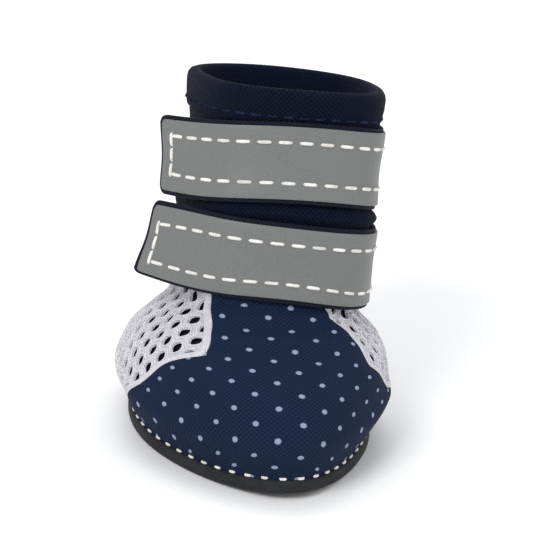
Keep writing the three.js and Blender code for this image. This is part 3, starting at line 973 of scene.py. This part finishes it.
def build_shaft():
    wall, top = SHAFT_WALL, SHAFT_LENGTH
    outside = [(h, 0) for h in np.linspace(SLEEVE + GAP, 30, 52)]
    hem = [(30.2, 0.05), (30.35, 0.3), (30.6, 0.42), (31.2, 0.45), (33, 0.45), (34.6, 0.42),
           (35.3, 0.25), (35.8, -0.15), (top, -0.7), (top, -1.2), (35.8, -1.7), (35.3, -wall)]
    inside = [(h, -wall) for h in np.linspace(34, SLEEVE + GAP, 24)]
    profile = outside + hem + inside
    profile.append(profile[0])
    finish_piece(tube("brushed_shaft", SHAFT, profile, 168), BRUSHED, "shaft_cloth", "shaft")
    stitch = model_stitch(length=1.7, thickness=0.45)
    turns = range(-180, 181, 15)
    ring = [(turn, COLLAR_STITCH_HEIGHT) for turn in turns]
    places = stations(SHAFT, ring, pitch=2.6, lift=0.48, inset=1.3)
    finish_piece(copy_along("collar_stitches", stitch, places), NAVY_THREAD, "shaft_cloth")
    back = [(180, h) for h in np.linspace(SLEEVE + 0.5, 35, 9)]
    seam = band("back_seam", SHAFT, back, half=2.4, lift=0.5, thickness=0.5, arch=0.1, slices=8)
    finish_piece(seam, BRUSHED, "shaft_cloth")
    for name, turn in BACK_STITCH_TURNS:
        line = [(turn, h) for h in np.linspace(SLEEVE + 1, 34.4, 9)]
        row = copy_along(name, stitch, stations(SHAFT, line, pitch=2.6, lift=0.62, inset=0.8))
        finish_piece(row, NAVY_THREAD, "shaft_cloth")
    bpy.data.objects.remove(stitch)
    ankle = [(turn, SLEEVE) for turn in turns]
    binding = band("ankle_binding", SHAFT, ankle, half=1.9, lift=0.75, thickness=0.5, edge=0.2,
                   arch=0.12, slices=6)
    finish_piece(binding, WEBBING, "shaft_cloth")


# ---- Straps --------------------------------------------------------------------------------------
WEBBING_TOP = 0.75  # mm up from a strap's underside
TAPE_TOP = 1.2
TAPE_HALF = 6.0
STITCH_TOP = 1.26
STITCH_ROW = 3.4  # mm from the strap's middle to either long row of stitches
LONG_PITCH = 3.5  # mm from stitch to stitch along a strap
CROSS_PITCH = 3.1
ROOT_STITCH = 5  # degrees from the root to the last row across
ROW_INSET = 2  # degrees from a row across to the ends of the long rows


def strap_layer(name, strap, start, half, low, high, round_end):
    """One layer of a strap: from start mm past the tab's end to the root, low to high mm up."""
    surface = strap_surface(strap)
    turns = np.radians(np.linspace(strap["end"], STRAP_ROOT, 400))
    length = lengths_along(raised(surface, turns, 0 * turns, 0.8))
    piece, u, v = sheet(name, 200, 16)
    run = start + u * (length[-1] - start)
    from_end = np.minimum(run - start, round_end)
    narrow = round_end - np.sqrt(np.maximum(round_end ** 2 - (round_end - from_end) ** 2, 0))
    across = (v * 2 - 1) * (half - narrow)
    rise = high - 0.12 * np.abs(across / half) ** 6  # its long edges are pressed down
    move_corners(piece, raised(surface, np.interp(run, length, turns), across, rise))
    print_on(piece, run, across)
    thicken(piece, thickness=high - low, edge=0.16)
    return piece


def build_strap(strap, node):
    label = strap["name"]
    surface = strap_surface(strap)
    webbing = strap_layer(f"{label}_strap_webbing", strap, start=0, half=STRAP_HALF,
                          low=0, high=WEBBING_TOP, round_end=1.3)
    finish_piece(webbing, WEBBING, "strap_tape", node)
    tape = strap_layer(f"{label}_strap_tape", strap, start=1.0, half=TAPE_HALF,
                       low=WEBBING_TOP, high=TAPE_TOP, round_end=0.7)
    finish_piece(tape, TAPE, "strap_tape")
    first, last = strap["end"] + strap["first_stitch"], STRAP_ROOT - ROOT_STITCH
    turns = np.linspace(first + ROW_INSET, last - ROW_INSET, 24)
    acrosses = (-STITCH_ROW, 0, STITCH_ROW)
    rows = {
        "low": ([(turn, -STITCH_ROW) for turn in turns], LONG_PITCH),
        "high": ([(turn, STITCH_ROW) for turn in turns], LONG_PITCH),
        "end": ([(first, across) for across in acrosses], CROSS_PITCH),
        "root": ([(last, across) for across in acrosses], CROSS_PITCH),
    }
    stitch = model_stitch(length=2.3, thickness=0.58)
    for edge, (line, pitch) in rows.items():
        name = f"{label}_strap_stitches_{edge}"
        row = copy_along(name, stitch, stations(surface, line, pitch, STITCH_TOP, inset=0.6))
        finish_piece(row, THREAD, "strap_tape")
    bpy.data.objects.remove(stitch)


build_sole()
build_insole()
build_lining()
build_vamp()
build_net("net_inner", -1)
build_net("net_outer", 1)
build_net_edges()
build_heel()
build_rim_stitches()
build_shaft()
build_strap(LOWER_STRAP, "strap_lower")
build_strap(UPPER_STRAP, "strap_upper")

# ---- Floor, light and camera ---------------------------------------------------------------------
deselect()
bpy.ops.mesh.primitive_plane_add(size=6)
floor = bpy.context.object
floor.name = "studio_floor"
# Matt white paper: bright, with a soft shadow and no mirroring.
paper, _, shader = start_material("matt_white_paper", Roughness=0.9)
shader.inputs["Base Color"].default_value = colour("f8f8f8")
floor.data.materials.append(paper)

world = bpy.data.worlds.new("white_studio")
bpy.context.scene.world = world
world.use_nodes = True
backdrop = world.node_tree.nodes["Background"]
backdrop.inputs["Color"].default_value = (0.97, 0.98, 1.0, 1)
backdrop.inputs["Strength"].default_value = 0.74
LIT_POINT = Vector((0, 0, 0.02))


def softbox(name, place, size, power):
    """A square lamp at a place, size metres wide and power watts, turned to the boot."""
    lamp = bpy.data.lights.new(name, "AREA")
    lamp.size = size
    lamp.energy = power
    holder = bpy.data.objects.new(name, lamp)
    bpy.context.collection.objects.link(holder)
    holder.location = place
    towards = LIT_POINT - Vector(place)
    holder.rotation_euler = towards.to_track_quat("-Z", "Y").to_euler()


softbox("key_softbox", (-0.5, -0.55, 0.75), 0.4, 4.4)
softbox("fill_softbox", (0.6, -0.45, 0.45), 0.5, 1.0)
softbox("top_softbox", (0.05, 0.35, 0.8), 0.6, 2.2)

AZIMUTH = math.radians(-12)
ELEVATION = math.radians(22)
ROLL = math.radians(3)
DISTANCE = 2.0
AIM = Vector((0.0016, 0, 0.0275))
FIELD = 0.086  # width seen at the boot, in metres
SENSOR = 36
camera = bpy.data.cameras.new("camera")
camera.sensor_width = SENSOR
camera.lens = SENSOR * DISTANCE / FIELD
camera.clip_end = 20
viewer = bpy.data.objects.new("camera", camera)
bpy.context.collection.objects.link(viewer)
back = Vector((
    math.sin(AZIMUTH) * math.cos(ELEVATION),
    -math.cos(AZIMUTH) * math.cos(ELEVATION),
    math.sin(ELEVATION),
))
viewer.location = AIM + back * DISTANCE
viewer.rotation_mode = "QUATERNION"
level = (-back).to_track_quat("-Z", "Y")
viewer.rotation_quaternion = level @ Matrix.Rotation(ROLL, 3, "Z").to_quaternion()
bpy.context.scene.camera = viewer
bpy.context.scene.view_settings.view_transform = "Standard"
